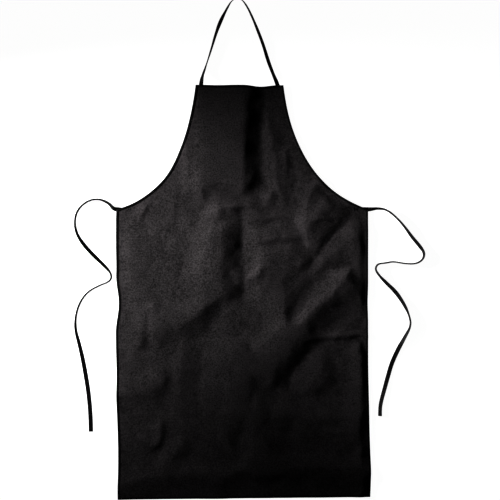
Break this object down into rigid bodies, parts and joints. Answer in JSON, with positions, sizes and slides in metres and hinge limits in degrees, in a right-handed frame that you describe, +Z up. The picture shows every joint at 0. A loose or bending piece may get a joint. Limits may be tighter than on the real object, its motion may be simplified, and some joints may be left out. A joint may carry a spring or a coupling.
{
  "type": "lead apron",
  "caption": "Flat bib-shaped shielding apron with a layered core, bound edges, a loop of neck tape and free waist ties, laid out front side up.",
  "frame": {"origin": "on the surface it lies on, under the middle of the apron without its tapes", "axes": "+X to the right as seen from the front, +Y from the hem to the neck, +Z up out of the front face"},
  "size_m": [0.8502, 1.203, 0.0046],
  "materials": {
    "cover_cloth": "matt black close-woven cloth",
    "lining_cloth": "matt black coated cloth",
    "core_sheet": "dark grey filled vinyl sheet",
    "binding_tape": "black folded binding tape",
    "thread": "black sewing thread",
    "tape": "black woven tape"
  },
  "bodies": {
    "skirt": {"front_cover_skirt": "cover_cloth", "back_lining_skirt": "lining_cloth", "core_front_skirt": "core_sheet", "core_back_skirt": "core_sheet", "left_side_binding": "binding_tape", "right_side_binding": "binding_tape", "bottom_binding": "binding_tape", "left_side_stitching": "thread", "right_side_stitching": "thread", "bottom_stitching": "thread", "left_tie_anchor": "tape", "right_tie_anchor": "tape", "left_waist_tack": "thread", "right_waist_tack": "thread"},
    "bib": {"front_cover_bib": "cover_cloth", "back_lining_bib": "lining_cloth", "core_front_bib": "core_sheet", "core_back_bib": "core_sheet", "top_binding": "binding_tape", "left_armhole_binding": "binding_tape", "right_armhole_binding": "binding_tape", "top_stitching": "thread", "left_armhole_stitching": "thread", "right_armhole_stitching": "thread", "neck_anchor_left": "tape", "neck_anchor_right": "tape", "neck_tack_left": "thread", "neck_tack_right": "thread"},
    "neck_loop": {"neck_tape": "tape"},
    "left_tie": {"left_waist_tie": "tape", "left_tie_end_stitch": "thread"},
    "right_tie": {"right_waist_tie": "tape", "right_tie_end_stitch": "thread"}
  },
  "joints": [
    {"name": "waist_bend", "type": "hinge", "parent": "skirt", "child": "bib", "pos_m": [0, 0.206, 0.0043], "axis": [1, 0, 0], "range_deg": [0, 90]},
    {"name": "neck_loop_fold", "type": "hinge", "parent": "bib", "child": "neck_loop", "pos_m": [0, 0.4948, 0.0048], "axis": [1, 0, 0], "range_deg": [0, 170]},
    {"name": "left_tie_swing", "type": "hinge", "parent": "skirt", "child": "left_tie", "pos_m": [-0.3085, 0.1985, 0.0004], "axis": [0, 0, 1], "range_deg": [-40, 2]},
    {"name": "right_tie_swing", "type": "hinge", "parent": "skirt", "child": "right_tie", "pos_m": [0.3085, 0.1985, 0.0004], "axis": [0, 0, 1], "range_deg": [-2, 85]}
  ]
}
